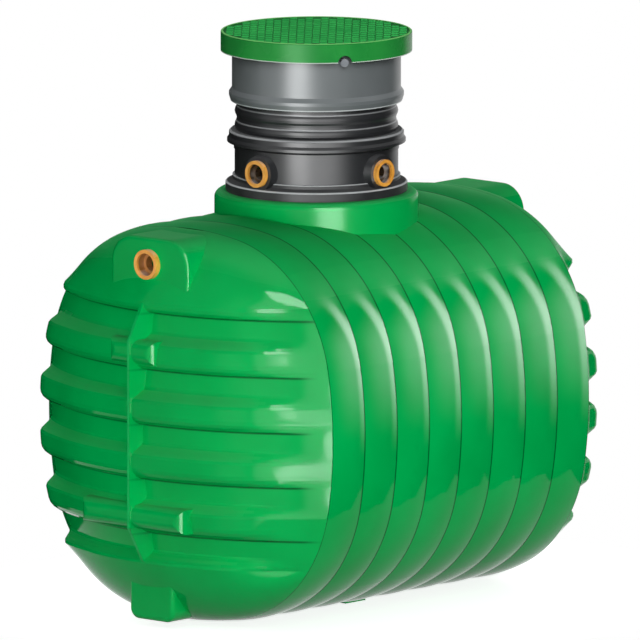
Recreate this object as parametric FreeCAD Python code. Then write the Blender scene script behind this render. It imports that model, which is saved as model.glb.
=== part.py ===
import FreeCAD, Part
import math
import os

V = FreeCAD.Vector

# Barrel: shallow bands round an oval made of crown, side and shoulder arcs, in mm
BAND_COUNT = 8
BAND_PITCH = 178.5
BAND_RISE = 8.0
WALL = 8.0
HALF_WIDTH = 700.0
HALF_HEIGHT = 726.0
CROWN_R = 1400.0
SIDE_R = 1500.0
SHOULDER_R = HALF_HEIGHT - 174.0
PANEL_ANGLE = 52.0
BARREL_HALF = BAND_COUNT * BAND_PITCH / 2.0
AXIS_Z = HALF_HEIGHT + BAND_RISE
CROWN_Z = AXIS_Z + HALF_HEIGHT

# Domed ends with level ribs; heights are measured from the tank's axis
DOME_DEPTH = 286.0
DOME_X = BARREL_HALF + DOME_DEPTH
RIB_PITCH = 203.5
RIB_FOOT = 80.0
UPPER_FLANK = 50.0
LOWER_FLANK = 45.0
RIB_RISE = 50.0
RIB_SHIFT = 7.5
LEFT_FADE_START = 0.84
LEFT_FADE = 0.13
RIGHT_FADE_START = 0.45
RIGHT_FADE = 0.47
CAP_START = 2.0 * RIB_PITCH + RIB_FOOT
CAP_BLEND = 60.0
CAP_POWER = 6
CAP_LINES = 9
POLE_GAP = 2.0
FLANK_STRIPS = 5
ARC_STATIONS = 4
FADE_STATIONS = 4
DOME_TOP = HALF_HEIGHT - POLE_GAP

# Mould seam, a web with sloping sides, and the two flat pads that it crosses
SEAM_X = DOME_X + RIB_RISE + 5.0
SEAM_THICK = 12.0
SEAM_SPREAD = 0.3
SEAM_TOP = HALF_HEIGHT - 245.0
SEAM_LOW = -(HALF_HEIGHT - 201.0)
SEAM_TOP_X = DOME_X - 22.0
SEAM_LOW_X = DOME_X - 49.0
SEAM_ROOT_X = DOME_X - 100.0
PAD_X = SEAM_X - 6.0
PAD_Z = 1.5 * RIB_PITCH
PAD_HALF_HEIGHT = 46.0
PAD_DEEP = 140.0
PAD_EDGE = 40.0
SEAM_FLAT = PAD_Z + PAD_HALF_HEIGHT - 3.0
UPPER_PAD_HALF = 110.0
LOWER_PAD_HALF = 250.0

# Pipe boss and foot on each end
BOSS_X = DOME_X - 60.0
BOSS_HALF = 190.0
BOSS_TOP = HALF_HEIGHT - 9.0
BOSS_LOW = BOSS_TOP - 277.0
BOSS_ROUND = 100.0
BOSS_EDGE = 16.0
PORT_Z = BOSS_TOP - 97.0
FOOT_X = DOME_X - 68.0
FOOT_HALF = 107.0
FOOT_LOW = 18.0 - HALF_HEIGHT
FOOT_TOP = FOOT_LOW + 238.0
FOOT_ROUND = 40.0
FOOT_EDGE = 16.0

# Feet under the middle of the barrel
MID_FOOT_Y = 140.0
MID_FOOT_WIDE = 80.0
MID_FOOT_LONG = 110.0
MID_FOOT_HIGH = 60.0

# Pipe sleeves in the ends
SLEEVE_R = 55.0
SLEEVE_MOUTH_R = SLEEVE_R - 13.0
SLEEVE_THROAT_R = SLEEVE_R - 25.0
SLEEVE_PROUD = 22.0
SLEEVE_MOUTH = 40.0
SLEEVE_INSIDE = 40.0
SLEEVE_LONG = SLEEVE_PROUD + WALL + SLEEVE_INSIDE

# Riser and what sits on it: radii follow the riser, heights follow the tank's crown
NECK_X = -15.0
RISER_R = 302.0
RISER_WALL = 8.0
RISER_SLEEVE_R = 50.0
RISER_PORT_R = RISER_SLEEVE_R + 14.0
RISER_PORT_ROOT_R = RISER_PORT_R + 12.0
RISER_PORT_UP = 93.0
RISER_HIGH = RISER_PORT_UP + RISER_PORT_ROOT_R + 2.0
COLLAR_R = RISER_R + 75.0
COLLAR_RISE = 67.0
COLLAR_ROUND = 28.0
COLLAR_BORE_R = RISER_R - 2.0
COLLAR_TOP = CROWN_Z + COLLAR_RISE
COLLAR_LOW = CROWN_Z - 166.0
BASE_RING_R = RISER_R + 34.0
BASE_RING_NECK_R = RISER_R + 8.0
BASE_RING_EDGE = COLLAR_TOP + 30.0
BASE_RING_BEVEL = 4.0
BASE_RING_NECK = COLLAR_TOP + 44.0
BASE_RING_TOP = COLLAR_TOP + 58.0
RISER_TOP = COLLAR_TOP + RISER_HIGH
RISER_STEP_R = RISER_R + 3.0
RISER_STEP = RISER_TOP - 15.0
RISER_PORT_Z = COLLAR_TOP + RISER_PORT_UP
RISER_PORT_ROOT = RISER_R - 32.0
RISER_PORT_REACH = RISER_R + 23.0
RISER_SLEEVE_MOUTH_R = RISER_SLEEVE_R - 13.0
RISER_SLEEVE_THROAT_R = RISER_SLEEVE_R - 24.0
RISER_SLEEVE_PROUD = 15.0
RISER_SLEEVE_MOUTH = 30.0
RISER_SLEEVE_LONG = 55.0

# Band, corrugated spigot, telescope tube and lid
BAND_R = RISER_R + 21.0
LIP_R = RISER_R + 28.0
LIP_LOW = RISER_TOP + 11.0
LIP_TOP = RISER_TOP + 21.0
BAND_LOW = RISER_TOP + 31.0
BAND_TOP = RISER_TOP + 55.0
BAND_BEVEL = 8.0
SPIGOT_R = RISER_R
SPIGOT_WAVE = 8.0
SPIGOT_WALL = 6.0
SPIGOT_PITCH = 52.0
SPIGOT_WAVES = 4
SPIGOT_PHASE = 1.0 / 3.0
WAVE_STEPS = 6
SPIGOT_BORE_R = SPIGOT_R - SPIGOT_WALL - SPIGOT_WAVE
TUBE_CLEAR = 5.0
TUBE_WALL = 5.0
TUBE_R = SPIGOT_R + TUBE_CLEAR + TUBE_WALL
FLARE_R = TUBE_R + 11.0
FLARE_TAPER = 6.0
FLARE_WALL = 8.0
TUBE_LOW = BAND_TOP + 108.0
FLARE_EDGE = TUBE_LOW + 20.0
FLARE_HIGH = TUBE_LOW + 32.0
FLARE_TOP = TUBE_LOW + 48.0
LID_R = TUBE_R + 41.5
LID_LOW = BAND_TOP + 293.0
LID_HIGH = 73.0
LID_TOP = LID_LOW + LID_HIGH
LID_PLATE = 14.0
LID_SKIRT = 8.0
LID_EDGE = 5.0
LID_RIM = 9.0
LID_FLOOR = LID_TOP - 4.0
LID_GAP = 0.5
TUBE_TOP = LID_TOP - LID_PLATE - LID_GAP
SCREW_TURN = -121.0
SCREW_R = 15.0
SCREW_PROUD = LID_R - TUBE_R - 4.0
NOTCH_R = SCREW_R + 12.0

os.makedirs("parts", exist_ok=True)


def save(name, shape):
    shape.exportStep("parts/" + name + ".step")


def corner_centre():
    """Centre of the shoulder arc that touches the crown arc and the side arc inside."""
    crown = V(0, HALF_HEIGHT - CROWN_R, 0)
    side = V(HALF_WIDTH - SIDE_R, 0, 0)
    from_crown = CROWN_R - SHOULDER_R
    from_side = SIDE_R - SHOULDER_R
    gap = side.sub(crown)
    span = gap.Length
    along = (from_crown ** 2 - from_side ** 2 + span ** 2) / (2.0 * span)
    across = math.sqrt(from_crown ** 2 - along ** 2)
    unit = gap.multiply(1.0 / span)
    return crown + unit * along + V(unit.y, -unit.x, 0) * across


CORNER = corner_centre()
CROWN_ANGLE = math.degrees(math.atan2(CORNER.y - (HALF_HEIGHT - CROWN_R), CORNER.x))
SIDE_ANGLE = math.degrees(math.atan2(CORNER.y, CORNER.x - (HALF_WIDTH - SIDE_R)))


def rim_half(z, inset):
    """Half width of the barrel's groove outline at height z from its axis, moved in by inset."""
    z = abs(z)
    crown_z = HALF_HEIGHT - CROWN_R
    if z >= crown_z + (CROWN_R - inset) * math.sin(math.radians(CROWN_ANGLE)):
        return math.sqrt(max((CROWN_R - inset) ** 2 - (z - crown_z) ** 2, 1.0))
    if z <= (SIDE_R - inset) * math.sin(math.radians(SIDE_ANGLE)):
        return HALF_WIDTH - SIDE_R + math.sqrt((SIDE_R - inset) ** 2 - z ** 2)
    return CORNER.x + math.sqrt((SHOULDER_R - inset) ** 2 - (z - CORNER.y) ** 2)


def band_line(radius):
    """Chain of shallow arcs, one for each band, at a radius from the turning axis."""
    edges = []
    for i in range(BAND_COUNT):
        x = -BARREL_HALF + i * BAND_PITCH
        low = V(x, radius, 0)
        crest = V(x + BAND_PITCH / 2.0, radius + BAND_RISE, 0)
        end = V(x + BAND_PITCH, radius, 0)
        edges.append(Part.Arc(low, crest, end).toShape())
    return edges


def sector(centre_y, centre_z, radius, start, end, depth):
    """Banded wall turned about an axis along X from one angle to another."""
    outer = band_line(radius)
    inner = band_line(radius - depth)
    left = Part.makeLine(V(-BARREL_HALF, radius - depth, 0), V(-BARREL_HALF, radius, 0))
    right = Part.makeLine(V(BARREL_HALF, radius, 0), V(BARREL_HALF, radius - depth, 0))
    face = Part.Face(Part.Wire([left] + outer + [right] + inner[::-1]))
    face.rotate(V(0, 0, 0), V(1, 0, 0), start)
    solid = face.revolve(V(0, 0, 0), V(1, 0, 0), end - start)
    solid.translate(V(0, centre_y, AXIS_Z + centre_z))
    return solid


def crown_wall(sign, depth):
    """Crown arc with the two stretches of shoulder arc beside it, at the top or the bottom."""
    middle = sector(0, HALF_HEIGHT - CROWN_R, CROWN_R, CROWN_ANGLE, 180 - CROWN_ANGLE, depth)
    left = sector(CORNER.x, CORNER.y, SHOULDER_R, PANEL_ANGLE, CROWN_ANGLE, depth)
    right = sector(-CORNER.x, CORNER.y, SHOULDER_R, 180 - CROWN_ANGLE, 180 - PANEL_ANGLE, depth)
    wall = middle.fuse([left, right])
    if sign < 0:
        wall.rotate(V(0, 0, AXIS_Z), V(1, 0, 0), 180)
    return wall


def lathe(points):
    """Solid of revolution about the neck's axis from (radius, height) corners."""
    corners = [V(NECK_X + r, 0, z) for r, z in points]
    face = Part.Face(Part.makePolygon(corners + corners[:1]))
    return face.revolve(V(NECK_X, 0, 0), V(0, 0, 1), 360)


def rounded_rim(solid, radius, height, fillet):
    """Round the circular edge at one radius and height of a turned solid."""
    edges = []
    for edge in solid.Edges:
        box = edge.BoundBox
        level = abs(box.ZMin - height) < 0.01 and abs(box.ZMax - height) < 0.01
        if level and abs(box.YMax - radius) < 0.5:
            edges.append(edge)
    return solid.makeFillet(fillet, edges)


# Barrel wall, split into panels; the top panel has the neck opening
top = crown_wall(1, WALL)
neck_hole = Part.makeCylinder(COLLAR_R - WALL, COLLAR_TOP - AXIS_Z, V(NECK_X, 0, AXIS_Z))
save("barrel_top", top.cut(neck_hole))
save("barrel_bottom", crown_wall(-1, WALL))
for name, sign in (("left", 1), ("right", -1)):
    for level, up in (("upper", 1), ("lower", -1)):
        shoulder = sector(CORNER.x, CORNER.y, SHOULDER_R, SIDE_ANGLE, PANEL_ANGLE, WALL)
        if up < 0:
            shoulder = shoulder.mirror(V(0, 0, AXIS_Z), V(0, 0, 1))
        if sign < 0:
            shoulder = shoulder.mirror(V(0, 0, 0), V(0, 1, 0))
        save("barrel_" + level + "_" + name, shoulder)
    side = sector(HALF_WIDTH - SIDE_R, 0, SIDE_R, -SIDE_ANGLE, SIDE_ANGLE, WALL)
    if sign < 0:
        side = side.mirror(V(0, 0, 0), V(0, 1, 0))
    save("barrel_" + name, side)


def smooth(value):
    """Smooth step from 0 to 1."""
    value = min(max(value, 0.0), 1.0)
    return value * value * (3.0 - 2.0 * value)


def lower_flank(start, shift):
    """Level lines of a rib's round underside as (height, rise), with rise along a quarter ellipse."""
    lines = []
    for k in range(FLANK_STRIPS + 1):
        turn = math.pi / 2.0 * k / FLANK_STRIPS
        low = start + RIB_FOOT - LOWER_FLANK + shift
        lines.append((low + LOWER_FLANK * (1.0 - math.cos(turn)), math.sin(turn)))
    return lines


def upper_flank(end, shift):
    """Level lines of a rib's soft upper side as (height, rise), with rise along a smooth step."""
    lines = []
    for k in range(FLANK_STRIPS + 1):
        high = end - RIB_FOOT - shift
        lines.append((high + UPPER_FLANK * k / FLANK_STRIPS, 1.0 - smooth(k / FLANK_STRIPS)))
    return lines


def dome_bands(top_z, shift):
    """Level lines as (height, rise), band by band: cap, soft flank, valley, round flank, crest, cap."""
    bands = []
    crest_low = None
    for valley in (-2, -1, 0, 1, 2):
        mid = valley * RIB_PITCH
        upper = upper_flank(mid, shift)
        lower = lower_flank(mid, shift)
        if crest_low is not None:
            crest = (crest_low, 0.5 * (crest_low + upper[0][0]), upper[0][0])
            bands.append([(z, 1.0) for z in crest])
        for k in range(FLANK_STRIPS):
            bands.append(upper[k:k + 2])
        bands.append([upper[-1], (0.5 * (upper[-1][0] + lower[0][0]), 0.0), lower[0]])
        for k in range(FLANK_STRIPS):
            bands.append(lower[k:k + 2])
        crest_low = lower[-1][0]
    cap = []
    for k in range(CAP_LINES + 1):
        cap.append((crest_low + (top_z - crest_low) * math.sin(math.pi / 2.0 * k / CAP_LINES), 1.0))
    return [[(-z, rise) for z, rise in cap[::-1]]] + bands + [cap]


def half_stations(start, length):
    """Places along a level line from its middle to one rim, close together where the ribs fade."""
    before = [start * k / ARC_STATIONS for k in range(ARC_STATIONS)]
    across = [start + length * k / FADE_STATIONS for k in range(FADE_STATIONS + 1)]
    return before + across + [1.0]


def dome_stations():
    """Places along each level line, from the right rim at -1 to the left rim at 1."""
    right = half_stations(RIGHT_FADE_START, RIGHT_FADE)
    left = half_stations(LEFT_FADE_START, LEFT_FADE)
    return [-t for t in right[:0:-1]] + left


def rib_fade(t):
    """Share of a rib's rise that is left at a place along a level line."""
    if t < 0:
        return 1.0 - smooth((-t - RIGHT_FADE_START) / RIGHT_FADE)
    return 1.0 - smooth((t - LEFT_FADE_START) / LEFT_FADE)


def spline_through(points, parameters):
    """Spline through points at given parameters."""
    curve = Part.BSplineCurve()
    curve.interpolate(Points=points, Parameters=parameters)
    return curve


def spline_patch(rows, levels, stations):
    """Surface through a grid of points: splines along the rows, then splines through their poles."""
    along = [spline_through(row, stations) for row in rows]
    up = [spline_through(list(poles), levels) for poles in zip(*[curve.getPoles() for curve in along])]
    poles = [list(line) for line in zip(*[curve.getPoles() for curve in up])]
    surface = Part.BSplineSurface()
    surface.buildFromPolesMultsKnots(poles, up[0].getMultiplicities(), along[0].getMultiplicities(),
                                     up[0].getKnots(), along[0].getKnots(), False, False,
                                     up[0].Degree, along[0].Degree)
    return surface.toShape()


def dome_row(z, share, inset, stations):
    """One level line: a circular arc from rim to rim, pushed out along its normal by a share of
    the rib's rise, and fading to the plain arc before the rim."""
    half = rim_half(z, inset)
    depth = (DOME_DEPTH - inset) * math.sqrt(1.0 - (z / (HALF_HEIGHT - inset)) ** 2)
    radius = (half ** 2 + depth ** 2) / (2.0 * depth)
    spread = math.asin(min(half / radius, 1.0))
    far = max((abs(z) - CAP_START) / (DOME_TOP - inset - CAP_START), 0.0)
    rise = RIB_RISE * share * math.sqrt(max(1.0 - far ** 2, 0.0))
    cap = smooth((abs(z) - CAP_START) / CAP_BLEND)
    row = []
    for t in stations:
        fade = rib_fade(t)
        out = rise * (fade + (1.0 - t ** CAP_POWER - fade) * cap)
        turn = spread * t
        x = BARREL_HALF - (radius - depth) + (radius + out) * math.cos(turn)
        row.append(V(-x, (radius + out) * math.sin(turn), AXIS_Z + z))
    row[0] = V(-BARREL_HALF, -half, AXIS_Z + z)
    row[-1] = V(-BARREL_HALF, half, AXIS_Z + z)
    return row


def dome(inset, shift):
    """Inlet end as a solid bowl: bands of skin, closed by a flat back and two small flat poles."""
    stations = dome_stations()
    pole_z = DOME_TOP - inset
    faces = []
    rim = []
    for band in dome_bands(pole_z, shift):
        rows = [dome_row(z, share, inset, stations) for z, share in band]
        faces.append(spline_patch(rows, list(range(len(rows))), stations))
        for edge in faces[-1].Edges:
            mid = edge.valueAt((edge.FirstParameter + edge.LastParameter) / 2.0)
            if abs(mid.x + BARREL_HALF) < 0.01 and abs(mid.z - AXIS_Z) < pole_z - 0.01:
                rim.append(edge)
    for end in (faces[0], faces[-1]):
        edge = max(end.Edges, key=lambda e: abs(e.CenterOfMass.z - AXIS_Z))
        chord = Part.makeLine(edge.Vertexes[0].Point, edge.Vertexes[-1].Point)
        faces.append(Part.Face(Part.Wire([edge, chord])))
        rim.append(chord)
    faces.append(Part.Face(Part.Wire(Part.__sortEdges__(rim))))
    shell = Part.makeShell(faces)
    shell.sewShape()
    return Part.makeSolid(shell)


def front_edges(block, x):
    """Edges of a block that lie in its front plane."""
    found = []
    for edge in block.Edges:
        box = edge.BoundBox
        if abs(box.XMin - x) < 0.01 and abs(box.XMax - x) < 0.01:
            found.append(edge)
    return found


def boss(inset):
    """Flat-faced block for the pipe, with its two upper corners rounded."""
    half = BOSS_HALF - inset
    top_z = AXIS_Z + BOSS_TOP - inset
    low_z = AXIS_Z + BOSS_LOW + inset
    radius = BOSS_ROUND - inset
    bend = radius * (1.0 - math.sqrt(0.5))
    x = -BOSS_X + inset
    left = Part.Arc(V(x, half, top_z - radius), V(x, half - bend, top_z - bend), V(x, half - radius, top_z))
    right = Part.Arc(V(x, radius - half, top_z), V(x, bend - half, top_z - bend), V(x, -half, top_z - radius))
    edges = [Part.makeLine(V(x, -half, low_z), V(x, half, low_z)),
             Part.makeLine(V(x, half, low_z), V(x, half, top_z - radius)),
             left.toShape(),
             Part.makeLine(V(x, half - radius, top_z), V(x, radius - half, top_z)),
             right.toShape(),
             Part.makeLine(V(x, -half, top_z - radius), V(x, -half, low_z))]
    block = Part.Face(Part.Wire(edges)).extrude(V(BOSS_X - BARREL_HALF - inset, 0, 0))
    return block.makeFillet(BOSS_EDGE - inset, front_edges(block, x))


def foot(inset):
    """Foot block with rounded lower corners and a rounded front edge."""
    x = -FOOT_X + inset
    low_z = AXIS_Z + FOOT_LOW + inset
    high = FOOT_TOP - FOOT_LOW - 2 * inset
    block = Part.makeBox(FOOT_X - BARREL_HALF - inset, 2 * (FOOT_HALF - inset), high,
                         V(x, inset - FOOT_HALF, low_z))
    lower = []
    for edge in block.Edges:
        box = edge.BoundBox
        if box.XLength > 1 and abs(box.ZMax - low_z) < 0.01:
            lower.append(edge)
    block = block.makeFillet(FOOT_ROUND - inset, lower)
    return block.makeFillet(FOOT_EDGE - inset, front_edges(block, x))


def pad(z, half):
    """Flat pad on a rib, with a large round along its front edges."""
    block = Part.makeBox(PAD_DEEP, 2 * half, 2 * PAD_HALF_HEIGHT,
                         V(-PAD_X, -half, AXIS_Z + z - PAD_HALF_HEIGHT))
    return block.makeFillet(PAD_EDGE, front_edges(block, -PAD_X))


def seam_section(x, z):
    """Level section of the seam's web: a thin edge in front, widening towards the dome."""
    edge = SEAM_THICK / 2.0
    root = edge + SEAM_SPREAD * (x - SEAM_ROOT_X)
    corners = [V(-x, edge, AXIS_Z + z), V(-SEAM_ROOT_X, root, AXIS_Z + z),
               V(-SEAM_ROOT_X, -root, AXIS_Z + z), V(-x, -edge, AXIS_Z + z)]
    return Part.makePolygon(corners + corners[:1])


# Domed ends, mirrored about the middle of the tank
seam_levels = ((SEAM_LOW_X, SEAM_LOW), (SEAM_X, -SEAM_FLAT), (SEAM_X, SEAM_FLAT), (SEAM_TOP_X, SEAM_TOP))
seam = Part.makeLoft([seam_section(x, z) for x, z in seam_levels], True, True)
pads = [pad(PAD_Z, UPPER_PAD_HALF), pad(-PAD_Z, LOWER_PAD_HALF)]
port_way = V(1, 0, 0)
port_hole = Part.makeCylinder(SLEEVE_R, BOSS_X - BARREL_HALF, V(-BOSS_X - WALL, 0, AXIS_Z + PORT_Z), port_way)
skin = dome(0, 0)
room = dome(WALL, RIB_SHIFT)


def end_shell(turn):
    """One end as a shell, with its ribbed skin turned about the tank's axis."""
    outside = skin.copy()
    inside = room.copy()
    for shape in (outside, inside):
        shape.rotate(V(0, 0, AXIS_Z), V(1, 0, 0), turn)
    outside = outside.fuse([boss(0), foot(0), seam] + pads)
    inside = inside.fuse([boss(WALL), foot(WALL)])
    return outside.cut(inside).cut(port_hole)


save("inlet_end", end_shell(0))
save("far_end", end_shell(180).mirror(V(0, 0, 0), V(1, 0, 0)))


def sleeve(radius, mouth, throat, length, depth, base, direction):
    """Pipe sleeve with a wide mouth and a narrower throat behind it."""
    body = Part.makeCylinder(radius, length, base, direction)
    body = body.cut(Part.makeCylinder(mouth, depth, base, direction))
    return body.cut(Part.makeCylinder(throat, length, base, direction))


end_sleeve = sleeve(SLEEVE_R, SLEEVE_MOUTH_R, SLEEVE_THROAT_R, SLEEVE_LONG, SLEEVE_MOUTH,
                    V(-BOSS_X - SLEEVE_PROUD, 0, AXIS_Z + PORT_Z), port_way)
save("inlet_sleeve", end_sleeve)
save("far_sleeve", end_sleeve.mirror(V(0, 0, 0), V(1, 0, 0)))

# Feet under the middle of the barrel, cut to the barrel's underside
under_barrel = crown_wall(-1, 2.0 * MID_FOOT_HIGH)
for name, sign in (("left", 1), ("right", -1)):
    block = Part.makeBox(MID_FOOT_LONG, MID_FOOT_WIDE, MID_FOOT_HIGH,
                         V(-MID_FOOT_LONG / 2.0, sign * MID_FOOT_Y - MID_FOOT_WIDE / 2.0, 0))
    save("mid_foot_" + name, block.cut(under_barrel))

# Moulded collar round the neck opening, cut to the barrel's top
collar = lathe([(COLLAR_R, COLLAR_LOW), (COLLAR_R, COLLAR_TOP), (COLLAR_BORE_R, COLLAR_TOP),
                (COLLAR_BORE_R, COLLAR_TOP - WALL), (COLLAR_R - WALL, COLLAR_TOP - WALL),
                (COLLAR_R - WALL, COLLAR_LOW)])
collar = rounded_rim(collar, COLLAR_R, COLLAR_TOP, COLLAR_ROUND)
collar = rounded_rim(collar, COLLAR_R - WALL, COLLAR_TOP - WALL, COLLAR_ROUND - WALL)
save("neck_collar", collar.cut(crown_wall(1, 2.0 * (CROWN_Z - COLLAR_LOW))))

# Riser with two pipe bosses, one on the inlet side and one on the right side
riser = Part.makeCylinder(RISER_R, RISER_HIGH, V(NECK_X, 0, COLLAR_TOP))
riser = riser.fuse(Part.makeCylinder(RISER_STEP_R, RISER_TOP - RISER_STEP, V(NECK_X, 0, RISER_STEP)))
middle = V(NECK_X, 0, RISER_PORT_Z)
port_ways = (("inlet_side", V(-1, 0, 0)), ("right_side", V(0, -1, 0)))
port_bosses = []
for name, way in port_ways:
    port_bosses.append(Part.makeCone(RISER_PORT_ROOT_R, RISER_PORT_R, RISER_PORT_REACH - RISER_PORT_ROOT,
                                     middle + way * RISER_PORT_ROOT, way))
riser = riser.fuse(port_bosses)
riser = riser.cut(Part.makeCylinder(RISER_R - RISER_WALL, RISER_HIGH, V(NECK_X, 0, COLLAR_TOP)))
for name, way in port_ways:
    riser = riser.cut(Part.makeCylinder(RISER_SLEEVE_R, RISER_PORT_REACH, middle, way))
    mouth = middle + way * (RISER_PORT_REACH + RISER_SLEEVE_PROUD)
    ring = sleeve(RISER_SLEEVE_R, RISER_SLEEVE_MOUTH_R, RISER_SLEEVE_THROAT_R, RISER_SLEEVE_LONG,
                  RISER_SLEEVE_MOUTH, mouth, way * -1.0)
    save("riser_sleeve_" + name, ring)
save("riser", riser)

# Base ring that seats the riser on the collar, cut away round the pipe bosses
base_ring = lathe([(BASE_RING_R, COLLAR_TOP), (BASE_RING_R, BASE_RING_EDGE),
                   (BASE_RING_R - BASE_RING_BEVEL, BASE_RING_EDGE + BASE_RING_BEVEL),
                   (BASE_RING_NECK_R, BASE_RING_NECK), (BASE_RING_NECK_R, BASE_RING_TOP),
                   (RISER_R, BASE_RING_TOP), (RISER_R, COLLAR_TOP)])
save("base_ring", base_ring.cut(port_bosses))

# Wide band with a lip below it, on the riser's top edge
save("riser_band", lathe([(RISER_R, RISER_TOP), (LIP_R, LIP_LOW), (LIP_R, LIP_TOP), (BAND_R, BAND_LOW),
                          (BAND_R, BAND_TOP - BAND_BEVEL), (BAND_R - BAND_BEVEL, BAND_TOP),
                          (SPIGOT_BORE_R, BAND_TOP), (SPIGOT_BORE_R, RISER_TOP)]))


def wave_points(radius):
    """Corners of the corrugated wall: a mean radius plus a cosine wave along the height."""
    points = []
    for i in range(SPIGOT_WAVES * WAVE_STEPS + 1):
        wave = math.cos(2.0 * math.pi * (i / WAVE_STEPS - SPIGOT_PHASE))
        points.append((radius + SPIGOT_WAVE / 2.0 * wave, BAND_TOP + SPIGOT_PITCH * i / WAVE_STEPS))
    return points


# Corrugated spigot that the tube slides over
mean_r = SPIGOT_R - SPIGOT_WAVE / 2.0
save("corrugated_spigot", lathe(wave_points(mean_r) + wave_points(mean_r - SPIGOT_WALL)[::-1]))

# Telescope tube with a flared lower edge
save("telescope_tube", lathe([(FLARE_R - FLARE_TAPER, TUBE_LOW), (FLARE_R, FLARE_EDGE), (FLARE_R, FLARE_HIGH),
                              (TUBE_R, FLARE_TOP), (TUBE_R, TUBE_TOP), (TUBE_R - TUBE_WALL, TUBE_TOP),
                              (TUBE_R - TUBE_WALL, FLARE_TOP), (FLARE_R - FLARE_WALL, FLARE_EDGE),
                              (FLARE_R - FLARE_TAPER - TUBE_WALL, TUBE_LOW)]))

# Lid with a plain rim round a lower floor, a skirt and a half-round notch with the lock screw
lid = lathe([(0, LID_FLOOR), (LID_R - LID_RIM, LID_FLOOR), (LID_R - LID_RIM, LID_TOP), (LID_R, LID_TOP),
             (LID_R, LID_LOW), (LID_R - LID_SKIRT, LID_LOW),
             (LID_R - LID_SKIRT, LID_TOP - LID_PLATE), (0, LID_TOP - LID_PLATE)])
lid = rounded_rim(lid, LID_R, LID_TOP, LID_EDGE)
turn = math.radians(SCREW_TURN)
way = V(math.cos(turn), math.sin(turn), 0)
notch = Part.makeCylinder(NOTCH_R, LID_R - TUBE_R, V(NECK_X, 0, LID_LOW) + way * (TUBE_R + LID_SKIRT), way)
save("lid", lid.cut(notch))
screw_root = V(NECK_X, 0, LID_LOW) + way * (TUBE_R - TUBE_WALL)
screw = Part.makeCylinder(SCREW_R, TUBE_WALL + SCREW_PROUD, screw_root, way)
tube_core = Part.makeCylinder(TUBE_R, TUBE_TOP - TUBE_LOW, V(NECK_X, 0, TUBE_LOW))
save("lock_screw", screw.cut(tube_core))
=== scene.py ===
import math

import bpy
import numpy as np
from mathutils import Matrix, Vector


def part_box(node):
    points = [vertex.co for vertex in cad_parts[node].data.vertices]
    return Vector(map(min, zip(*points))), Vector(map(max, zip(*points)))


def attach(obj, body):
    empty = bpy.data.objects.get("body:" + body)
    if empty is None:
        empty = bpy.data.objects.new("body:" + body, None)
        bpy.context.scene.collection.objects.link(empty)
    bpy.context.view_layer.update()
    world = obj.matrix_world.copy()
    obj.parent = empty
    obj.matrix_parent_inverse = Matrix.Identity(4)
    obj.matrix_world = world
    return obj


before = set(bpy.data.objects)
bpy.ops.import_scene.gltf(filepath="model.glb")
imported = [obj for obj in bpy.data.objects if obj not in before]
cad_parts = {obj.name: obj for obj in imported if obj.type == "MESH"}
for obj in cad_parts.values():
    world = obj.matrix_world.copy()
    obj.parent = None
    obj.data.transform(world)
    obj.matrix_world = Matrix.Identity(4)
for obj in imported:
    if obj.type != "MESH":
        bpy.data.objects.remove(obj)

# Start from a bare stage: the objects of Blender's own opening scene go.
for opening in ("Cube", "Light", "Camera"):
    if opening in bpy.data.objects:
        bpy.data.objects.remove(bpy.data.objects[opening])
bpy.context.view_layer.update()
scene = bpy.context.scene
scene.view_settings.view_transform = "Standard"

# Domed ends, collar and small feet: one rotational moulding in green polyethylene.
# The skin has a faint cloudiness and the fine orange peel that the mould leaves, and dust dulls what looks
# up.
# On the ends a paler line along the seam is painted highlight, and a dark line under each rib is painted
# shade.
TANK_GREEN = (0.0, 0.335, 0.066)
TANK_GREEN_DEEP = (0.0, 0.29, 0.054)
CLOUD_LOW = 0.35
CLOUD_HIGH = 0.7
CLOUD_DETAIL = 3.0
PEEL_DETAIL = 1.0
PEEL_DEPTH = 0.0006
DUST_START = 0.5
DUST_FULL = 0.9
DUSTY_ROUGHNESS = 0.9


def feed(tree, entry, value):
    """Link a socket to an entry of a node, or set the entry to a plain value."""
    if isinstance(value, bpy.types.NodeSocket):
        tree.links.new(value, entry)
    else:
        entry.default_value = value


def math_node(tree, operation, *values):
    """One sum on sockets or plain numbers; gives its result."""
    node = tree.nodes.new("ShaderNodeMath")
    node.operation = operation
    for entry, value in zip(node.inputs, values):
        feed(tree, entry, value)
    return node.outputs["Value"]


def ramp_node(tree, value, low, high, at_low=0.0, at_high=1.0, kind="SMOOTHSTEP"):
    """Ramp: at_low while the value is below low, at_high above high, smooth or straight between."""
    node = tree.nodes.new("ShaderNodeMapRange")
    node.interpolation_type = kind
    entries = ("Value", "From Min", "From Max", "To Min", "To Max")
    for entry, given in zip(entries, (value, low, high, at_low, at_high)):
        feed(tree, node.inputs[entry], given)
    return node.outputs["Result"]


def mix_node(tree, kind, share, under, over):
    """Mix of two colours (RGBA) or numbers (FLOAT): under where share is 0, over where it is 1."""
    node = tree.nodes.new("ShaderNodeMix")
    node.data_type = kind
    first, second, result = (6, 7, 2) if kind == "RGBA" else (2, 3, 0)
    feed(tree, node.inputs[0], share)
    feed(tree, node.inputs[first], under)
    feed(tree, node.inputs[second], over)
    return node.outputs[result]


def noise_node(tree, place, scale, detail):
    """Noise of a scale and a detail at a place; gives its value."""
    node = tree.nodes.new("ShaderNodeTexNoise")
    for entry, given in (("Vector", place), ("Scale", scale), ("Detail", detail)):
        feed(tree, node.inputs[entry], given)
    return node.outputs["Fac"]


def split_node(tree, vector):
    """The three parts of a vector, by X, Y and Z."""
    node = tree.nodes.new("ShaderNodeSeparateXYZ")
    tree.links.new(vector, node.inputs["Vector"])
    return node.outputs


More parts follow.
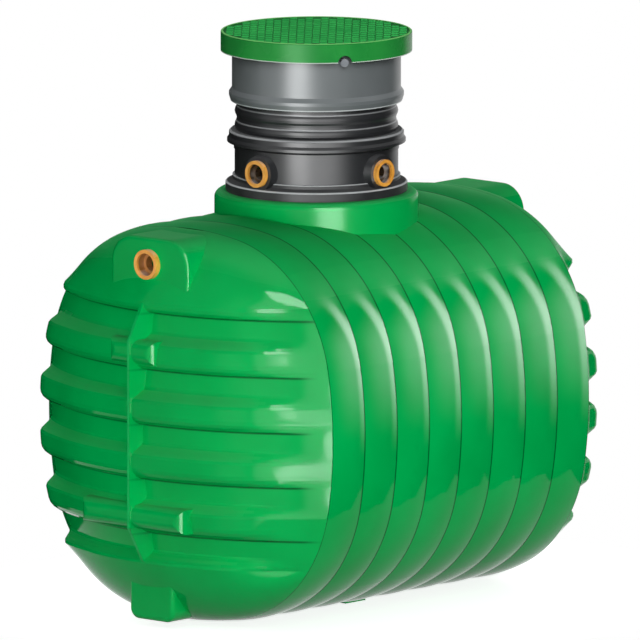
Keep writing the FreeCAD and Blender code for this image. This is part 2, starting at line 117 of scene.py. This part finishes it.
def sockets(group, in_out, kind, *names):
    """Named sockets of one kind on a node group."""
    for name in names:
        group.interface.new_socket(name=name, in_out=in_out, socket_type=kind)


def moulded_skin_group():
    """Moulded plastic: Color = mix(Light, Deep, cloud), Roughness = Gloss + Spread * cloud and Dusty on
    faces that look up, Height = peel noise; cloud is a low noise on Object coordinates, stretched to
    0..1, and dust = smoothstep(DUST_START, DUST_FULL, normal z)."""
    group = bpy.data.node_groups.new("moulded_skin", "ShaderNodeTree")
    sockets(group, "INPUT", "NodeSocketColor", "Light", "Deep")
    sockets(group, "INPUT", "NodeSocketFloat", "Cloud Scale", "Gloss", "Spread", "Dusty", "Peel Scale")
    sockets(group, "OUTPUT", "NodeSocketColor", "Color")
    sockets(group, "OUTPUT", "NodeSocketFloat", "Roughness", "Height")
    given = group.nodes.new("NodeGroupInput").outputs
    made = group.nodes.new("NodeGroupOutput").inputs
    place = group.nodes.new("ShaderNodeTexCoord").outputs["Object"]
    noise = noise_node(group, place, given["Cloud Scale"], CLOUD_DETAIL)
    cloud = ramp_node(group, noise, CLOUD_LOW, CLOUD_HIGH, kind="LINEAR")
    feed(group, made["Color"], mix_node(group, "RGBA", cloud, given["Light"], given["Deep"]))
    clean = math_node(group, "MULTIPLY_ADD", cloud, given["Spread"], given["Gloss"])
    facing = split_node(group, group.nodes.new("ShaderNodeNewGeometry").outputs["Normal"])
    dust = ramp_node(group, facing["Z"], DUST_START, DUST_FULL)
    feed(group, made["Roughness"], mix_node(group, "FLOAT", dust, clean, given["Dusty"]))
    feed(group, made["Height"], noise_node(group, place, given["Peel Scale"], PEEL_DETAIL))
    return group


moulded_skin = moulded_skin_group()


def moulded_plastic(name, light, deep, cloud_scale, gloss, spread, peel_scale, peel, specular):
    """Principled plastic whose colour, roughness and peel come from the moulded_skin group."""
    material = bpy.data.materials.new(name)
    material.use_nodes = True
    nodes, links = material.node_tree.nodes, material.node_tree.links
    shader = nodes["Principled BSDF"]
    skin = nodes.new("ShaderNodeGroup")
    skin.node_tree = moulded_skin
    skin.inputs["Light"].default_value = light + (1.0,)
    skin.inputs["Deep"].default_value = deep + (1.0,)
    skin.inputs["Cloud Scale"].default_value = cloud_scale
    skin.inputs["Gloss"].default_value = gloss
    skin.inputs["Spread"].default_value = spread
    skin.inputs["Dusty"].default_value = DUSTY_ROUGHNESS
    skin.inputs["Peel Scale"].default_value = peel_scale
    bump = nodes.new("ShaderNodeBump")
    bump.inputs["Strength"].default_value = peel
    bump.inputs["Distance"].default_value = PEEL_DEPTH
    links.new(skin.outputs["Height"], bump.inputs["Height"])
    links.new(skin.outputs["Color"], shader.inputs["Base Color"])
    links.new(skin.outputs["Roughness"], shader.inputs["Roughness"])
    links.new(bump.outputs["Normal"], shader.inputs["Normal"])
    shader.inputs["Specular IOR Level"].default_value = specular
    return material


def line_mask_group():
    """Mask of a thin line: 1 while |Value - Place| is below Half, then a smooth fall over Soft."""
    group = bpy.data.node_groups.new("line_mask", "ShaderNodeTree")
    sockets(group, "INPUT", "NodeSocketFloat", "Value", "Place", "Half", "Soft")
    sockets(group, "OUTPUT", "NodeSocketFloat", "Mask")
    given = group.nodes.new("NodeGroupInput").outputs
    made = group.nodes.new("NodeGroupOutput").inputs
    away = math_node(group, "ABSOLUTE", math_node(group, "SUBTRACT", given["Value"], given["Place"]))
    edge = math_node(group, "ADD", given["Half"], given["Soft"])
    feed(group, made["Mask"], ramp_node(group, away, given["Half"], edge, 1.0, 0.0))
    return group


line_mask = line_mask_group()


def line_share(tree, value, place, half, soft):
    """The line_mask group placed in a material with its own values; gives its mask."""
    node = tree.nodes.new("ShaderNodeGroup")
    node.node_tree = line_mask
    for entry, given in (("Value", value), ("Place", place), ("Half", half), ("Soft", soft)):
        feed(tree, node.inputs[entry], given)
    return node.outputs["Mask"]


def paint(material, share, colour):
    """Lay a colour over a finish by a share of 0 to 1."""
    tree = material.node_tree
    entry = tree.nodes["Principled BSDF"].inputs["Base Color"]
    under = entry.links[0].from_socket
    tree.links.new(mix_node(tree, "RGBA", share, under, colour + (1.0,)), entry)


def line(material, axis, place, half, soft, colour, share=1.0, pitch=None, windows=()):
    """Tint a thin line across an axis of the piece, or a row of lines a pitch apart; each window
    (axis, place, half, soft) keeps the lines to a stretch of that axis."""
    tree = material.node_tree
    parts = split_node(tree, tree.nodes.new("ShaderNodeTexCoord").outputs["Object"])
    value = parts[axis]
    if pitch is not None:
        value = math_node(tree, "PINGPONG", math_node(tree, "SUBTRACT", value, place), pitch / 2.0)
        place = 0.0
    weight = math_node(tree, "MULTIPLY", line_share(tree, value, place, half, soft), share)
    for along, middle, reach, fade in windows:
        weight = math_node(tree, "MULTIPLY", weight, line_share(tree, parts[along], middle, reach, fade))
    paint(material, weight, colour)


def dress(material, *nodes):
    """Give a finish to solids that keep their own shape."""
    for name in nodes:
        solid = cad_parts[name]
        solid.data.materials.clear()
        solid.data.materials.append(material)


TANK_FINISH = dict(cloud_scale=3.0, gloss=0.07, spread=0.02, peel_scale=160.0, peel=0.02, specular=0.06)
COLLAR_FINISH = dict(TANK_FINISH, gloss=0.19, spread=0.04)
collar_plastic = moulded_plastic("collar_polyethylene", TANK_GREEN, TANK_GREEN_DEEP, **COLLAR_FINISH)
dress(collar_plastic, "neck_collar", "mid_foot_left", "mid_foot_right")
# Painted highlight: a paler line painted along the seam ridge of each end.
SEAM_HIGHLIGHT_GREEN = (0.012, 0.4, 0.11)
SEAM_HALF = 0.004
SEAM_SOFT = 0.002
SEAM_REACH = 0.42
SEAM_FADE = 0.03
RIB_PITCH = 0.2035
RIB_REACH = 2.3 * RIB_PITCH
RIB_FADE = 0.01
# Painted shade: a dark line painted in the crease under each rib, where shade falls.
CREASE_SHADE_GREEN = (0.0, 0.07, 0.015)
CREASE_DROP = 0.035
CREASE_HALF = 0.001
CREASE_SOFT = 0.006
CREASE_STRETCHES = ((-0.32, 0.26, 0.08), (0.38, 0.33, 0.03))
panel_low, panel_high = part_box("barrel_left")
axis_z = (panel_low.z + panel_high.z) / 2.0
for end, way in (("inlet_end", 1.0), ("far_end", -1.0)):
    end_plastic = moulded_plastic(end + "_polyethylene", TANK_GREEN, TANK_GREEN_DEEP, **TANK_FINISH)
    line(end_plastic, "Y", 0.0, SEAM_HALF, SEAM_SOFT, SEAM_HIGHLIGHT_GREEN, share=0.5,
         windows=[("Z", axis_z, SEAM_REACH, SEAM_FADE)])
    crease = axis_z + way * CREASE_DROP
    for middle, reach, fade in CREASE_STRETCHES:
        line(end_plastic, "Z", crease, CREASE_HALF, CREASE_SOFT, CREASE_SHADE_GREEN, share=0.85, pitch=RIB_PITCH,
             windows=[("Z", crease, RIB_REACH, RIB_FADE), ("Y", middle * way, reach, fade)])
    dress(end_plastic, end)

# Barrel: the same moulding, with eight shallow bands that meet in narrow grooves.
# Each groove gets a fine dark line of painted shade.
BAND_PITCH = 0.1785
BARREL_HALF = 0.714
# Painted shade: the colour of the dark line painted in each groove.
GROOVE_SHADE_GREEN = (0.0, 0.075, 0.016)
GROOVE_HALF = 0.0012
GROOVE_SOFT = 0.004
barrel_plastic = moulded_plastic("barrel_polyethylene", TANK_GREEN, TANK_GREEN_DEEP, **TANK_FINISH)
line(barrel_plastic, "X", -BARREL_HALF, GROOVE_HALF, GROOVE_SOFT, GROOVE_SHADE_GREEN, share=0.9, pitch=BAND_PITCH)
dress(barrel_plastic, *[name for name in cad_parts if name.startswith("barrel_")])

# Pipe sleeves: turned push-in sleeves in golden orange plastic, pressed into the ends
# and into the riser's two bosses. They are smooth and glossier than the tank, and past the
# mouth their bores are darkened with painted shade.
SLEEVE_ORANGE = (0.78, 0.36, 0.06)
SLEEVE_ORANGE_DEEP = (0.6, 0.25, 0.03)
SLEEVE_FINISH = dict(cloud_scale=14.0, gloss=0.16, spread=0.06, peel_scale=400.0, peel=0.03, specular=0.5)
END_BORE = 0.042
# Painted shade: the deep part of each bore is painted dark.
END_BORE_SHADE = (0.3, 0.13, 0.035)
RISER_BORE = 0.037
RISER_BORE_SHADE = (0.05, 0.03, 0.015)
BORE_SOFT = 0.002
MOUTH = 0.014
MOUTH_SOFT = 0.006


def vector_node(tree, operation, *values):
    """One sum on vectors, sockets or plain; gives its result."""
    node = tree.nodes.new("ShaderNodeVectorMath")
    node.operation = operation
    for entry, value in zip(node.inputs, values):
        feed(tree, entry, value)
    return node.outputs["Value" if operation == "LENGTH" else "Vector"]


def shade_bore(material, hub, plane, radius, axis, deep, length, colour):
    """Paint shade on the deep part of a bore: line_mask on the distance from the hub, measured in the plane,
    times line_mask on the distance from the deep end along the axis."""
    tree = material.node_tree
    place = tree.nodes.new("ShaderNodeTexCoord").outputs["Object"]
    flat = vector_node(tree, "MULTIPLY", vector_node(tree, "SUBTRACT", place, hub), plane)
    within = line_share(tree, vector_node(tree, "LENGTH", flat), 0.0, radius, BORE_SOFT)
    inside = line_share(tree, split_node(tree, place)[axis], deep, length, MOUTH_SOFT)
    paint(material, math_node(tree, "MULTIPLY", within, inside), colour)


for sleeve, along, radius, shade in (("inlet_sleeve", "X", END_BORE, END_BORE_SHADE),
                                     ("far_sleeve", "X", END_BORE, END_BORE_SHADE),
                                     ("riser_sleeve_inlet_side", "X", RISER_BORE, RISER_BORE_SHADE),
                                     ("riser_sleeve_right_side", "Y", RISER_BORE, RISER_BORE_SHADE)):
    sleeve_plastic = moulded_plastic(sleeve + "_plastic", SLEEVE_ORANGE, SLEEVE_ORANGE_DEEP, **SLEEVE_FINISH)
    sleeve_low, sleeve_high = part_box(sleeve)
    plane = (0.0, 1.0, 1.0) if along == "X" else (1.0, 0.0, 1.0)
    step = 0 if along == "X" else 1
    deep = sleeve_low[step] if sleeve == "far_sleeve" else sleeve_high[step]
    length = sleeve_high[step] - sleeve_low[step] - MOUTH
    shade_bore(sleeve_plastic, (sleeve_low + sleeve_high) / 2.0, plane, radius, along, deep, length, shade)
    dress(sleeve_plastic, sleeve)

# Base ring: black rubber seal between the tank's collar and the riser, a little dusty,
# with pale lines along its two edges that are painted highlights.
RING_BLACK = (0.022, 0.023, 0.024)
RING_BLACK_DUSTY = (0.035, 0.036, 0.037)
RING_FINISH = dict(cloud_scale=10.0, gloss=0.35, spread=0.12, peel_scale=500.0, peel=0.1, specular=0.2)
RING_STEP = 0.032
# Painted highlights: the pale grey of the edge lines on the ring, the band and the spigot.
EDGE_HIGHLIGHT_GREY = (0.5, 0.52, 0.53)
EDGE_HIGHLIGHT_HALF = 0.001
EDGE_HIGHLIGHT_SOFT = 0.003
ring_rubber = moulded_plastic("ring_rubber", RING_BLACK, RING_BLACK_DUSTY, **RING_FINISH)
ring_low, ring_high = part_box("base_ring")
for edge_highlight_z in (ring_low.z + RING_STEP, ring_high.z):
    line(ring_rubber, "Z", edge_highlight_z, EDGE_HIGHLIGHT_HALF, EDGE_HIGHLIGHT_SOFT, EDGE_HIGHLIGHT_GREY, share=0.75)
dress(ring_rubber, "base_ring")

# Riser, its band and the corrugated spigot: dark grey moulded plastic with a soft sheen.
# A fine dark line under the riser's step is painted shade, and the pale lines on the band's top edge
# and on the spigot's waves are painted highlights.
RISER_GREY = (0.02, 0.021, 0.0225)
RISER_GREY_DEEP = (0.015, 0.016, 0.0175)
RISER_FINISH = dict(cloud_scale=6.0, gloss=0.3, spread=0.06, peel_scale=300.0, peel=0.06, specular=0.4)
RISER_STEP = 0.016
# Painted shade: the dark line under the riser's step.
STEP_SHADE_BLACK = (0.02, 0.02, 0.022)
# Painted highlights: pale lines on the spigot's waves and on the band's top edge.
SPIGOT_HIGHLIGHTS = (0.089, 0.144)
BAND_EDGE = 0.004
riser_plastic = moulded_plastic("riser_plastic", RISER_GREY, RISER_GREY_DEEP, **RISER_FINISH)
riser_low, riser_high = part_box("riser")
line(riser_plastic, "Z", riser_high.z - RISER_STEP, half=0.001, soft=0.002, colour=STEP_SHADE_BLACK, share=0.8)
dress(riser_plastic, "riser")
spigot_plastic = moulded_plastic("spigot_plastic", RISER_GREY, RISER_GREY_DEEP, **RISER_FINISH)
for highlight_rise in SPIGOT_HIGHLIGHTS:
    line(spigot_plastic, "Z", riser_high.z + highlight_rise, half=0.0008, soft=0.003, colour=EDGE_HIGHLIGHT_GREY, share=0.4)
dress(spigot_plastic, "corrugated_spigot")
band_plastic = moulded_plastic("band_plastic", RISER_GREY, RISER_GREY_DEEP, **RISER_FINISH)
band_low, band_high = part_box("riser_band")
line(band_plastic, "Z", band_high.z - BAND_EDGE, half=0.001, soft=0.004, colour=EDGE_HIGHLIGHT_GREY, share=0.5)
dress(band_plastic, "riser_band")

# Telescope tube: mid grey extruded pipe with a flared lower edge, slid over the spigot.
# A pale line painted along its foot is a painted highlight on that edge.
TUBE_GREY = (0.14, 0.155, 0.16)
TUBE_GREY_DEEP = (0.12, 0.134, 0.138)
# Painted highlight: the pale line along the tube's foot.
TUBE_EDGE_HIGHLIGHT = (0.62, 0.65, 0.66)
TUBE_FINISH = dict(cloud_scale=5.0, gloss=0.3, spread=0.05, peel_scale=300.0, peel=0.04, specular=0.5)
tube_plastic = moulded_plastic("tube_plastic", TUBE_GREY, TUBE_GREY_DEEP, **TUBE_FINISH)
tube_low, tube_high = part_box("telescope_tube")
line(tube_plastic, "Z", tube_low.z, half=0.003, soft=0.002, colour=TUBE_EDGE_HIGHLIGHT, share=0.9)
dress(tube_plastic, "telescope_tube")

# Lid: green moulded cover that sits loose on the tube, with a skirt and a plain rim. Pale lines along its
# lower edge and the top of its rim are painted highlights, and the dark floor inside the rim is painted
# shade.
LID_GREEN = (0.02, 0.27, 0.045)
LID_GREEN_DEEP = (0.012, 0.22, 0.036)
# Painted highlights: the pale green of the rim line and the pale grey of the lower edge line.
LID_RIM_HIGHLIGHT_GREEN = (0.22, 0.6, 0.18)
LID_EDGE_HIGHLIGHT_GREY = (0.55, 0.62, 0.57)
LID_FINISH = dict(cloud_scale=8.0, gloss=0.25, spread=0.08, peel_scale=300.0, peel=0.08, specular=0.1)
# Painted shade: the dark green painted on the lid's floor between the tread blocks.
LID_FLOOR_SHADE_GREEN = (0.004, 0.1, 0.018)
LID_FLOOR_DROP = 0.004
LID_RIM = 0.008
LID_RIM_SOFT = 0.001
lid_plastic = moulded_plastic("lid_plastic", LID_GREEN, LID_GREEN_DEEP, **LID_FINISH)
lid_low, lid_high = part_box("lid")
lid_centre = (lid_low + lid_high) / 2.0
line(lid_plastic, "Z", lid_low.z, half=0.0025, soft=0.001, colour=LID_EDGE_HIGHLIGHT_GREY, share=0.9)
line(lid_plastic, "Z", lid_high.z, half=0.001, soft=0.002, colour=LID_RIM_HIGHLIGHT_GREEN, share=0.7)
line(lid_plastic, "Z", lid_high.z - LID_FLOOR_DROP, half=0.0005, soft=0.0005, colour=LID_FLOOR_SHADE_GREEN,
     share=0.9, windows=[("Y", lid_centre.y, lid_high.y - LID_RIM, LID_RIM_SOFT)])
dress(lid_plastic, "lid")

# Tread: small raised blocks moulded on the lid's floor like a checker board, inside the
# Their tops are a paler green than the floor between them, which is darkened by painted shade.
TREAD_ACROSS = 0.028
TREAD_ALONG = 0.029
TREAD_RIM = 0.0105
TREAD_HIGH = 0.0036
TREAD_SINK = 0.0003
TREAD_SHOULDER = 0.7
TREAD_SHARES = (0.97, 0.86, 0.72)
TREAD_SPARE = 0.3
TREAD_TURN = math.radians(41.1)
TREAD_GREEN = (0.03, 0.37, 0.075)
TREAD_GREEN_DEEP = (0.02, 0.3, 0.06)
TREAD_FINISH = dict(cloud_scale=12.0, gloss=0.6, spread=0.1, peel_scale=400.0, peel=0.08, specular=0.05)


def tread_blocks(centre, reach, floor_z):
    """Checker board of blocks: cell (i, j) has a block where i + j is even; each block is a stack
    of three shrinking rectangles, and corners outside the reach are pulled back to it."""
    count = int(reach / TREAD_ACROSS) + 2
    i, j = np.meshgrid(np.arange(-count, count + 1), np.arange(-count, count + 1), indexing="ij")
    cells = np.stack([i * TREAD_ACROSS, j * TREAD_ALONG], -1)[(i + j) % 2 == 0]
    cells = cells[np.hypot(cells[:, 0], cells[:, 1]) < reach - TREAD_SPARE * TREAD_ACROSS]
    corner = np.array([(-0.5, -0.5), (0.5, -0.5), (0.5, 0.5), (-0.5, 0.5)])
    share = np.array(TREAD_SHARES)
    level = floor_z + np.array([-TREAD_SINK, TREAD_SHOULDER * TREAD_HIGH, TREAD_HIGH])
    ring = corner[None] * share[:, None, None] * np.array([TREAD_ACROSS, TREAD_ALONG])
    flat = cells[:, None, None, :] + ring[None]
    radius = np.hypot(flat[..., 0], flat[..., 1])
    flat = flat * np.minimum(1.0, reach / radius)[..., None]
    turned = np.stack([flat[..., 0] * math.cos(TREAD_TURN) - flat[..., 1] * math.sin(TREAD_TURN),
                       flat[..., 0] * math.sin(TREAD_TURN) + flat[..., 1] * math.cos(TREAD_TURN)], -1)
    height = np.broadcast_to(level[None, :, None, None], turned.shape[:3] + (1,))
    points = np.concatenate([turned + np.array([centre.x, centre.y]), height], -1).reshape(-1, 3)
    wall = [(4 * r + k, 4 * r + (k + 1) % 4, 4 * r + 4 + (k + 1) % 4, 4 * r + 4 + k)
            for r in (0, 1) for k in range(4)]
    block = np.array([(3, 2, 1, 0)] + wall + [(8, 9, 10, 11)])
    faces = (block[None] + 12 * np.arange(len(cells))[:, None, None]).reshape(-1, 4)
    return points, faces


tread_reach = (lid_high.y - lid_low.y) / 2.0 - TREAD_RIM
tread_points, tread_faces = tread_blocks(lid_centre, tread_reach, lid_high.z - LID_FLOOR_DROP)
tread_mesh = bpy.data.meshes.new("lid_tread")
tread_mesh.from_pydata(tread_points.tolist(), [], tread_faces.tolist())
tread_plastic = moulded_plastic("tread_plastic", TREAD_GREEN, TREAD_GREEN_DEEP, **TREAD_FINISH)
tread_mesh.materials.append(tread_plastic)
lid_tread = bpy.data.objects.new("lid_tread", tread_mesh)
scene.collection.objects.link(lid_tread)
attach(lid_tread, "lid")

# Lock screw: plain steel screw at the notch of the lid's skirt, turned into the tube's wall,
# with a slightly dull, uneven surface.
SCREW_STEEL = (0.3, 0.32, 0.34)
SCREW_STEEL_DEEP = (0.22, 0.24, 0.26)
SCREW_FINISH = dict(cloud_scale=60.0, gloss=0.3, spread=0.15, peel_scale=900.0, peel=0.05, specular=0.5)
screw_steel = moulded_plastic("screw_steel", SCREW_STEEL, SCREW_STEEL_DEEP, **SCREW_FINISH)
screw_steel.node_tree.nodes["Principled BSDF"].inputs["Metallic"].default_value = 1.0
dress(screw_steel, "lock_screw")

# Camera: level with the neck and looking a little down at the inlet end and the right side,
# from so far away that the sight lines are all but parallel.
PIXEL = 0.003694
FRAME_PIXELS = 640
VIEW_TURN = math.radians(-48.4)
VIEW_RISE = math.radians(9.0)
AXIS_PIXEL = (319.15, 400.5)
LENS = 1700.0
SENSOR = 36.0
SIGHT_END = 500.0
axis = Vector((0.0, 0.0, axis_z))
back = Vector((math.sin(VIEW_TURN) * math.cos(VIEW_RISE), -math.cos(VIEW_TURN) * math.cos(VIEW_RISE),
               math.sin(VIEW_RISE)))
turn = back.to_track_quat("Z", "Y")
right = turn @ Vector((1.0, 0.0, 0.0))
up = turn @ Vector((0.0, 1.0, 0.0))
aside = (FRAME_PIXELS / 2.0 - AXIS_PIXEL[0]) * PIXEL
above = (AXIS_PIXEL[1] - FRAME_PIXELS / 2.0) * PIXEL
view = bpy.data.cameras.new("view")
view.sensor_width = SENSOR
view.lens = LENS
view.clip_end = SIGHT_END
camera = bpy.data.objects.new("view", view)
camera.location = axis + right * aside + up * above + back * (PIXEL * FRAME_PIXELS * LENS / SENSOR)
camera.rotation_euler = turn.to_euler()
scene.collection.objects.link(camera)
scene.camera = camera

# Floor: a plain sheet just wider than the object's shadow, so that low lamps show past its
# edges. It looks white like the world round it, in reflections too, keeps the shadow and
# sends little light back up at the object.
FLOOR_LOW = (-1.4, -1.35)
FLOOR_HIGH = (1.55, 1.3)
FLOOR_GLOW = 0.86
FLOOR_WHITE = (0.9, 0.9, 0.9, 1.0)
FLOOR_BOUNCE = (0.2, 0.2, 0.2, 1.0)
floor_mesh = bpy.data.meshes.new("floor")
floor_corners = [(FLOOR_LOW[0], FLOOR_LOW[1], 0.0), (FLOOR_HIGH[0], FLOOR_LOW[1], 0.0),
                 (FLOOR_HIGH[0], FLOOR_HIGH[1], 0.0), (FLOOR_LOW[0], FLOOR_HIGH[1], 0.0)]
floor_mesh.from_pydata(floor_corners, [], [(0, 1, 2, 3)])
floor = bpy.data.objects.new("floor", floor_mesh)
scene.collection.objects.link(floor)


def seen_or_not(tree, seen, unseen, out):
    """Show one shader to the camera, to reflections and through glass, and another to other rays."""
    path = tree.nodes.new("ShaderNodeLightPath").outputs
    mirrored = math_node(tree, "MAXIMUM", path["Is Camera Ray"], path["Is Glossy Ray"])
    shown = math_node(tree, "MAXIMUM", mirrored, path["Is Transmission Ray"])
    mix = tree.nodes.new("ShaderNodeMixShader")
    for entry, given in zip(mix.inputs, (shown, unseen, seen)):
        tree.links.new(given, entry)
    tree.links.new(mix.outputs["Shader"], out)


floor_paint = bpy.data.materials.new("floor_paint")
floor_paint.use_nodes = True
floor_tree = floor_paint.node_tree
floor_tree.nodes.remove(floor_tree.nodes["Principled BSDF"])
glow = floor_tree.nodes.new("ShaderNodeEmission")
glow.inputs["Strength"].default_value = FLOOR_GLOW
lit = floor_tree.nodes.new("ShaderNodeBsdfDiffuse")
lit.inputs["Color"].default_value = FLOOR_WHITE
both = floor_tree.nodes.new("ShaderNodeAddShader")
floor_tree.links.new(glow.outputs["Emission"], both.inputs[0])
floor_tree.links.new(lit.outputs["BSDF"], both.inputs[1])
bounce = floor_tree.nodes.new("ShaderNodeBsdfDiffuse")
bounce.inputs["Color"].default_value = FLOOR_BOUNCE
floor_out = floor_tree.nodes["Material Output"].inputs["Surface"]
seen_or_not(floor_tree, both.outputs["Shader"], bounce.outputs["BSDF"], floor_out)
floor_mesh.materials.append(floor_paint)

# World: white where it is seen, and for the light on the object a pale horizon between a
# dimmer sky and a dim ground, so that faces that look up are darker than upright ones.
HORIZON = 0.65
ZENITH = 0.3
GROUND = 0.1
SKY_START = 0.05
SKY_FULL = 0.7
GROUND_FULL = -0.1
WHITE = (1.0, 1.0, 1.0, 1.0)
world = bpy.data.worlds.new("studio")
scene.world = world
world.use_nodes = True
world_tree = world.node_tree
rise = split_node(world_tree, world_tree.nodes.new("ShaderNodeTexCoord").outputs["Generated"])["Z"]
sky_glow = ramp_node(world_tree, rise, SKY_START, SKY_FULL, HORIZON, ZENITH)
ground_glow = ramp_node(world_tree, rise, GROUND_FULL, 0.0, GROUND, HORIZON)
sky = world_tree.nodes["Background"]
sky.inputs["Color"].default_value = WHITE
feed(world_tree, sky.inputs["Strength"], math_node(world_tree, "MINIMUM", sky_glow, ground_glow))
white = world_tree.nodes.new("ShaderNodeBackground")
white.inputs["Color"].default_value = WHITE
white.inputs["Strength"].default_value = 1.0
world_out = world_tree.nodes["World Output"].inputs["Surface"]
seen_or_not(world_tree, white.outputs["Background"], sky.outputs["Background"], world_out)

# Flags: two black boards that only reflections see, far out on the left and the right, so
# that the limbs and the bands keep their deep green.
LEFT_BOARD = [(-9.0, 8.0, -6.0), (9.0, 8.0, -6.0), (9.0, 8.0, 9.0), (-9.0, 8.0, 9.0)]
RIGHT_BOARD = [(-1.0, -13.0, -8.0), (14.0, -1.0, -8.0), (14.0, -1.0, 9.0), (-1.0, -13.0, 9.0)]
flag_mesh = bpy.data.meshes.new("flags")
flag_mesh.from_pydata(LEFT_BOARD + RIGHT_BOARD, [], [(0, 1, 2, 3), (4, 5, 6, 7)])
flag_black = bpy.data.materials.new("flag_black")
flag_black.use_nodes = True
flag_shader = flag_black.node_tree.nodes["Principled BSDF"]
flag_shader.inputs["Base Color"].default_value = (0.0, 0.0, 0.0, 1.0)
flag_shader.inputs["Specular IOR Level"].default_value = 0.0
flag_mesh.materials.append(flag_black)
flags = bpy.data.objects.new("flags", flag_mesh)
scene.collection.objects.link(flags)
flags.visible_camera = False
flags.visible_diffuse = False
flags.visible_shadow = False
flags.visible_transmission = False

# Lamps: soft keys for the colours and tall strips that only show as gloss. The ends, the barrel
# and the neck have lamps of their own, as each shows its gloss in other places.
LAMP_DISTANCE = 8.0
RISER_NODES = ("base_ring", "riser", "riser_band", "corrugated_spigot")
NECK_NODES = RISER_NODES + ("telescope_tube", "lock_screw", "lid")
barrel = [solid for name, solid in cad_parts.items() if name.startswith("barrel_")]
neck = [solid for name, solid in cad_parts.items() if name in NECK_NODES]
ends = [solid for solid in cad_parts.values() if solid not in barrel + neck]
riser = [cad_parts[name] for name in RISER_NODES]


def lit_group(name, pieces):
    """Collection of the pieces that a lamp reaches."""
    group = bpy.data.collections.new(name)
    for piece in pieces:
        group.objects.link(piece)
    return group


neck_group = lit_group("neck_lit", neck + [lid_tread])
tank_group = lit_group("tank_lit", barrel + ends)
barrel_group = lit_group("barrel_lit", barrel)
ends_group = lit_group("ends_lit", ends)
riser_group = lit_group("riser_lit", riser)


def lamp(name, lit, left, right, low, high, glow, gloss, soft):
    """Soft rectangle at LAMP_DISTANCE from the tank's middle: left and right are its edges in degrees
    from -X towards -Y, low and high its edges over the horizon; glow is its brightness per area, with
    watts = pi * area * glow, and fades to nothing over the soft share of its width and height."""
    turned = math.radians((left + right) / 2.0)
    middle = math.radians((low + high) / 2.0)
    way = Vector((-math.cos(turned) * math.cos(middle), -math.sin(turned) * math.cos(middle),
                  math.sin(middle)))
    data = bpy.data.lights.new(name, "AREA")
    data.shape = "RECTANGLE"
    data.size = 2.0 * LAMP_DISTANCE * math.tan(math.radians(right - left) / 2.0)
    data.size_y = 2.0 * LAMP_DISTANCE * math.tan(math.radians(high - low) / 2.0)
    data.energy = math.pi * data.size * data.size_y * glow
    data.use_nodes = True
    tree = data.node_tree
    place = split_node(tree, tree.nodes.new("ShaderNodeNewGeometry").outputs["Parametric"])
    across, along = [ramp_node(tree, math_node(tree, "PINGPONG", place[side], 0.5), 0.0, soft)
                     for side in ("X", "Y")]
    feed(tree, tree.nodes["Emission"].inputs["Strength"], math_node(tree, "MULTIPLY", across, along))
    strip = bpy.data.objects.new(name, data)
    strip.location = axis + way * LAMP_DISTANCE
    strip.rotation_euler = way.to_track_quat("Z", "Y").to_euler()
    strip.visible_camera = False
    strip.visible_diffuse = not gloss
    strip.visible_glossy = gloss
    strip.light_linking.receiver_collection = lit
    scene.collection.objects.link(strip)


# Each row: name, pieces, left and right edge, low and high edge, glow, gloss alone, soft share
for row in (("tank_key_end", tank_group, 10.0, 42.0, -4.0, 14.0, 12.5, False, 0.1),
            ("tank_key_side", tank_group, 73.0, 103.0, -4.0, 14.0, 11.2, False, 0.1),
            ("rib_strip_high", ends_group, 42.3, 72.0, 5.0, 50.0, 52.0, True, 0.02),
            ("rib_strip", ends_group, 43.5, 72.0, -23.0, 5.0, 52.0, True, 0.02),
            ("rib_strip_low", ends_group, 44.3, 72.0, -50.0, -23.0, 52.0, True, 0.02),
            ("rib_edge", ends_group, 33.0, 47.0, -50.0, 50.0, 8.0, True, 0.4),
            ("crest_tone", ends_group, 0.0, 34.0, -40.0, 40.0, 1.5, True, 0.3),
            ("band_strip", barrel_group, 143.0, 160.0, -13.0, 50.0, 22.0, True, 0.4),
            ("band_panel", barrel_group, 112.0, 165.0, -10.0, 34.0, 11.0, True, 0.45),
            ("neck_key", neck_group, 28.0, 68.0, 15.0, 45.0, 7.5, False, 0.1),
            ("neck_strip", neck_group, -2.0, 36.0, -40.0, 40.0, 12.0, True, 0.3),
            ("riser_strip", riser_group, 22.0, 84.0, -40.0, 40.0, 5.5, True, 0.4),
            ("back_fill", None, 195.0, 250.0, 2.0, 30.0, 5.0, False, 0.1)):
    lamp(*row)
